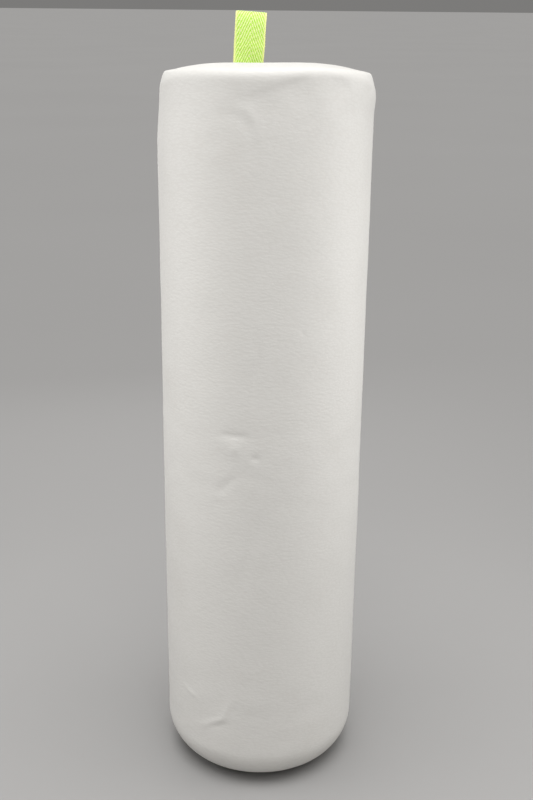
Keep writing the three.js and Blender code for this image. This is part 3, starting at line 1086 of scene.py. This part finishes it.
@dataclass
class WebbingLoop:
    """A length of herringbone tape, doubled, with its tails in the top seam and its bight standing."""

    thickness: float = 0.9 * MM
    yarns: int = 50
    weft_pitch: float = 0.58 * MM
    relief: float = 0.14 * MM
    lean: float = 3.5
    twist: float = 11.0
    stem: float = 3.8 * MM
    half_width: float = 3.1 * MM
    steps_along: int = 240

    def path(self) -> Grid:
        """The tape's middle seen from its edge, as (depth, height) from the flex line.

        Returns:
            Evenly spaced points, up one side and down the other.
        """
        leg = self.thickness / 2 + 0.03 * MM
        corner = PLACES.webbing / 2 * math.sin(math.radians(self.lean))
        top = PLACES.loop_top - PLACES.flex.z - corner - self.thickness / 2
        widest = top * 0.68
        foot = PLACES.tails[0].z - PLACES.flex.z
        half = [(leg, foot), (leg, self.stem)]
        half += bezier((leg, self.stem), (leg, self.stem + 3 * MM),
                       (self.half_width, widest - 6 * MM), (self.half_width, widest))
        half += bezier((self.half_width, widest), (self.half_width, widest + 4 * MM),
                       (self.half_width * 0.6, top), (0.0, top))
        line = half + [(-y, z) for y, z in reversed(half[:-1])]
        return evenly(np.array(line), self.steps_along)

    def weave(self, across: Grid, along: Grid) -> tuple[Grid, Grid]:
        """A herringbone: a twill that turns at the middle of the tape.

        Args:
            across: Place across the tape.
            along: Place along the tape.

        Returns:
            How far each place stands up, and how much of it is a yarn that floats on top.
        """
        warp = np.abs(across) / PLACES.webbing * self.yarns
        yarn = np.floor(warp + 0.5)
        round_yarn = np.abs(np.cos(np.pi * (warp - yarn))) ** 0.6
        phase = along / (4 * self.weft_pitch) - yarn / 4
        floating = 0.5 + 0.5 * np.cos(math.tau * phase)
        return (0.35 + 0.65 * round_yarn) * floating**0.7, floating

    def build(self) -> None:
        """Weaves the tape flat, bends it into the loop and lets it cross the joint."""
        path = self.path()
        length = stations(path)[-1]
        alone()
        bpy.ops.mesh.primitive_grid_add(
            x_subdivisions=2 * self.yarns, y_subdivisions=self.steps_along, size=1, location=(0, 0, 0))
        tape = named("webbing_loop_woven")
        flat = points(tape) * np.array([PLACES.webbing, length, 0])
        set_points(tape, flat)
        apply_modifier(tape, "SOLIDIFY", thickness=self.thickness - 1.6 * self.relief, offset=0)
        flat = points(tape)
        across, along, face = flat[:, 0], flat[:, 1], np.sign(flat[:, 2])
        edge = ease(PLACES.webbing / 2 - 0.75 * MM, PLACES.webbing / 2 - 0.35 * MM, np.abs(across))
        behind = np.where(face < 0, 2 * self.weft_pitch, 0)
        height, floating = self.weave(across, along + behind)
        picks = 0.5 + 0.5 * np.cos(math.tau * along / self.weft_pitch)
        height = height * (1 - edge) + picks * 0.8 * edge
        lift = height * self.relief * (1 - 0.7 * edge)
        rounded = 1 - 0.35 * edge
        across = across + np.sign(across) * edge * (picks - 0.5) * 0.12 * MM
        offset = flat[:, 2] * rounded + face * lift
        # The material paints shade where the float value is low, and a highlight where the selvage value
        # is high.
        self.keep("float", tape, floating * (1 - edge) + picks * edge)
        self.keep("selvage", tape, edge)
        set_points(tape, self.bent(across, along, offset, path))
        smooth(tape, 70)
        tape.data.materials.append(LimeWebbing().make())
        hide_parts("webbing_loop", "webbing_tails")
        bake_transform(tape)
        log.info("%s: %d faces", tape.name, len(tape.data.polygons))

    def keep(self, name: str, tape: Item, values: Grid) -> None:
        """Keeps one number a vertex for the material to read."""
        layer = tape.data.attributes.new(name, "FLOAT", "POINT")
        layer.data.foreach_set("value", values.astype(np.float32))

    def bent(self, across: Grid, along: Grid, offset: Grid, path: Grid) -> Grid:
        """Where points of the flat tape lie once it follows the path.

        Args:
            across: Place across the tape.
            along: Place along the tape, from its middle.
            offset: Height over the tape's middle.
            path: The path's points.

        Returns:
            The points in the row frame.
        """
        at = stations(path)
        at -= at[-1] / 2
        slope = np.gradient(path, axis=0)
        slope /= np.linalg.norm(slope, axis=1)[:, None]
        curves = (path[:, 0], path[:, 1], slope[:, 1], -slope[:, 0])
        y, z, out_y, out_z = (np.interp(along, at, curve) for curve in curves)
        y, z = y + out_y * offset, z + out_z * offset
        seam_bow = (PLACES.webbing / 2) ** 2 - across**2
        y = y + seam_bow / (2 * PLACES.top_hem) * (1 - ease(-1 * MM, 7 * MM, z))
        twist = math.radians(self.twist) * ease(0, 12 * MM, z)
        across, y = (across * np.cos(twist) + y * np.sin(twist),
                     y * np.cos(twist) - across * np.sin(twist))
        lean = math.radians(self.lean) * ease(-1.5 * MM, 2 * MM, z)
        x = across * np.cos(lean) + z * np.sin(lean)
        up = z * np.cos(lean) - across * np.sin(lean)
        return np.stack([x, y + PLACES.flex.y, up + PLACES.flex.z], axis=1)


def bezier(a: tuple, b: tuple, c: tuple, d: tuple, steps: int = 24) -> list[tuple[float, float]]:
    """Points of a cubic curve after its first one."""
    made = []
    for i in range(1, steps + 1):
        t = i / steps
        weights = ((1 - t) ** 3, 3 * (1 - t) ** 2 * t, 3 * (1 - t) * t**2, t**3)
        made.append(tuple(sum(w * p[k] for w, p in zip(weights, (a, b, c, d))) for k in (0, 1)))
    return made


def stations(line: Grid) -> Grid:
    """How far along a line each of its points is."""
    return np.concatenate([[0], np.cumsum(np.linalg.norm(np.diff(line, axis=0), axis=1))])


def evenly(line: Grid, count: int) -> Grid:
    """A line's points, spaced evenly."""
    at = stations(line)
    wanted = np.linspace(0, at[-1], count)
    return np.stack([np.interp(wanted, at, line[:, k]) for k in range(line.shape[1])], axis=1)


# ---- stitches and filling


@dataclass
class Insides:
    """What the cover holds, and the thread that closes it."""

    foam: Filling = Filling("closed_cell_foam", (0.74, 0.74, 0.69), (0.55, 0.55, 0.50), 0.9 * MM, 0.1 * MM)
    wadding: Filling = Filling("wadding", (0.88, 0.86, 0.82), (0.70, 0.68, 0.64), 0.5 * MM, 0.2 * MM)
    stitch_pitch: float = 5 * MM
    thread: float = 0.42 * MM

    def dress(self) -> None:
        """Gives the nodes inside the cover their materials."""
        threads = ("side_seam_thread", "top_seam_thread", "bottom_seam_thread", "loop_bar_tack")
        materials = dict.fromkeys(threads, WhiteThread().make())
        materials["foam_core"] = self.foam.make()
        materials["wadding_wrap"] = self.wadding.make()
        for name, material in materials.items():
            for place in frame["nodes"][name].material_slots:
                place.material = material

    def close(self, side: Item) -> None:
        """Sews the closing stitches across the lower part of the long seam.

        Args:
            side: The tube of the cover, which the stitches lie on.
        """
        low, high = PLACES.closing
        count = int((high.z - low.z) / self.stitch_pitch)
        half = 1.5 * MM
        skin = points(side)
        skin = skin[(np.abs(skin[:, 0]) < 1.3 * half) & (skin[:, 1] > 0)]
        made = []
        for index in range(count + 1):
            alone()
            bpy.ops.mesh.primitive_cylinder_add(
                vertices=10, radius=self.thread / 2, depth=1, end_fill_type="TRIFAN")
            stitch = named("closing_stitches")
            bpy.ops.object.mode_set(mode="EDIT")
            bpy.ops.mesh.select_all(action="SELECT")
            bpy.ops.mesh.bisect(plane_co=(0, 0, 0), plane_no=(0, 0, 1))
            bpy.ops.object.mode_set(mode="OBJECT")
            made.append(stitch)
            where = points(stitch)
            along = where[:, 2] * 2
            z = low.z + index * self.stitch_pitch
            level = skin[np.abs(skin[:, 2] - z) < 2.5 * MM][:, 1].max()
            bow = 0.45 * MM * along**2
            slant = 0.5 * MM * along * (1 if index % 2 else -1)
            set_points(stitch, np.stack([
                along * half,
                level + 0.14 * MM - bow + where[:, 0],
                z + slant + where[:, 1],
            ], axis=1))
        alone(*made)
        bpy.ops.object.join()
        stitches = named("closing_stitches")
        apply_modifier(stitches, "SUBSURF", levels=1, render_levels=1)
        smooth(stitches)
        stitches.data.materials.append(WhiteThread().make())
        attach(stitches, "bumper")
        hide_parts("closing_thread")
        log.info("%s: %d faces", stitches.name, len(stitches.data.polygons))


# ---- the studio


@dataclass
class Studio:
    """A pale floor, soft light from both sides and above, and the camera."""

    distance: float = 0.448
    height: float = 0.3294
    aside: float = 0.0035
    pitch: float = 19.78
    lean: float = 0.6
    lens: float = 50

    def camera(self) -> None:
        """Stands the camera in front of FACE, looking down."""
        bearing = math.radians(FACE)
        right = Vector((math.cos(bearing), math.sin(bearing), 0))
        ahead = Vector((-math.sin(bearing), math.cos(bearing), 0))
        where = right * self.aside - ahead * self.distance + Vector((0, 0, self.height))
        stand = (
            Matrix.Translation(where)
            @ Matrix.Rotation(bearing, 4, "Z")
            @ Matrix.Rotation(math.radians(90 - self.pitch), 4, "X")
        )
        alone()
        bpy.ops.object.camera_add()
        made = bpy.context.object
        made.name = "camera"
        set_all(made.data, {"lens": self.lens, "sensor_width": 36, "clip_start": 0.01})
        made.matrix_world = Matrix.Rotation(-math.radians(self.lean), 4, ahead) @ stand
        bpy.context.scene.camera = made

    def floor(self) -> None:
        """Lays the floor."""
        alone()
        bpy.ops.mesh.primitive_plane_add(size=80, location=(0, 0, 0))
        made = named("floor")
        shader = Shader("pale_floor")
        drift = shader.noise(shader.place(), 1.5, 2)
        shade = shader.mix(drift, (0.27, 0.265, 0.26), (0.29, 0.285, 0.28))
        made.data.materials.append(shader.finish({"Base Color": shade, "Roughness": 0.9}))

    def lights(self) -> None:
        """Hangs the lights and sets the world's own glow."""
        turn = Matrix.Rotation(math.radians(FACE), 3, "Z")
        aim = Vector((0, 0, PLACES.crest * 0.6))
        for name, place, size, power in (
            ("left", (-0.25, -0.03, 0.24), (0.20, 0.20), 0.25),
            ("right", (0.25, -0.02, 0.24), (0.20, 0.20), 0.285),
            ("front", (0.02, -0.40, 0.42), (0.25, 0.20), 0.51),
            ("back", (-0.10, 0.45, 0.32), (0.30, 0.30), 0.30),
        ):
            where = turn @ Vector(place)
            data = bpy.data.lights.new(name, "AREA")
            data.shape = "RECTANGLE"
            data.size, data.size_y = size
            data.energy = power
            self.hang(data, where, aim - where)
        sky = bpy.data.lights.new("overhead", "SUN")
        sky.angle = math.radians(50)
        sky.energy = 3.25
        self.hang(sky, Vector((0, 0, 1)), Vector((0.02, 0.1, -1)))
        world = bpy.data.worlds.new("studio")
        world.use_nodes = True
        glow = world.node_tree.nodes["Background"]
        glow.inputs["Color"].default_value = (1, 0.985, 0.96, 1)
        glow.inputs["Strength"].default_value = 0.20
        bpy.context.scene.world = world

    def hang(self, data: bpy.types.Light, where: Vector, toward: Vector) -> None:
        """Puts a light at a place, shining in a direction."""
        lamp = bpy.data.objects.new(data.name, data)
        lamp.visible_camera = False
        bpy.context.collection.objects.link(lamp)
        face = toward.to_track_quat("-Z", "Y").to_matrix().to_4x4()
        lamp.matrix_world = Matrix.Translation(where) @ face

    def build(self) -> None:
        """Sets up the whole studio."""
        self.camera()
        self.floor()
        self.lights()
        bpy.context.scene.view_settings.view_transform = "Standard"


def main() -> None:
    """Builds the bumper and the studio in order."""
    logging.basicConfig(level=logging.INFO, format="%(name)s %(message)s", force=True)
    Studio().build()
    cover = Cover()
    cover.build()
    WebbingLoop().build()
    insides = Insides()
    insides.dress()
    insides.close(cover.pieces[1])
    log.info("boxes written")


if __name__ == "__main__":
    main()
